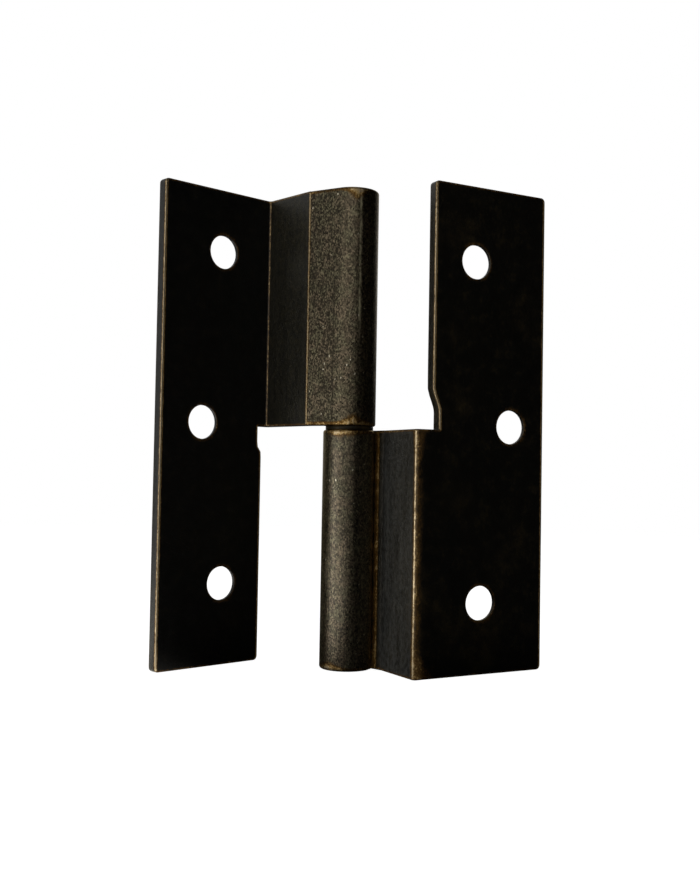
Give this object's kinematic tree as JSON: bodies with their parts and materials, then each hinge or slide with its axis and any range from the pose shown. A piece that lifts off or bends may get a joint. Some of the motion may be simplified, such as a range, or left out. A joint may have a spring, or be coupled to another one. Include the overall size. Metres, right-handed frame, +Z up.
{
  "type": "lift-off hinge",
  "caption": "Cranked lift-off hinge of folded brass sheet for lay-on doors: the upper leaf's rolled knuckle turns on a pin fixed in the lower leaf and lifts off it.",
  "frame": {"origin": "on the pin axis, at the bottom end of the pin and the lower knuckle", "axes": "+Z up along the pin, +X across the lower leaf's plate from the pin side to its free edge, -Y the way the lower plate's wood face looks"},
  "size_m": [0.0483, 0.024, 0.064],
  "materials": {
    "lower_leaf": "dark antique bronze patina on brass, rubbed bright on the edges",
    "upper_leaf": "dark antique bronze patina on brass, rubbed bright on the edges",
    "pin": "turned brass, dulled",
    "washer": "dark patina"
  },
  "bodies": {
    "frame_side": {"lower_leaf": "lower_leaf", "pin": "pin"},
    "loose_washer": {"washer": "washer"},
    "door_side": {"upper_leaf": "upper_leaf"}
  },
  "joints": [
    {"name": "swing", "type": "hinge", "parent": "frame_side", "child": "loose_washer", "pos_m": [0, 0, 0.032], "axis": [0, 0, 1], "range_deg": [-166, 166]},
    {"name": "lift_off", "type": "slide", "parent": "loose_washer", "child": "door_side", "axis": [0, 0, 1], "range_m": [0, 0.035]}
  ]
}
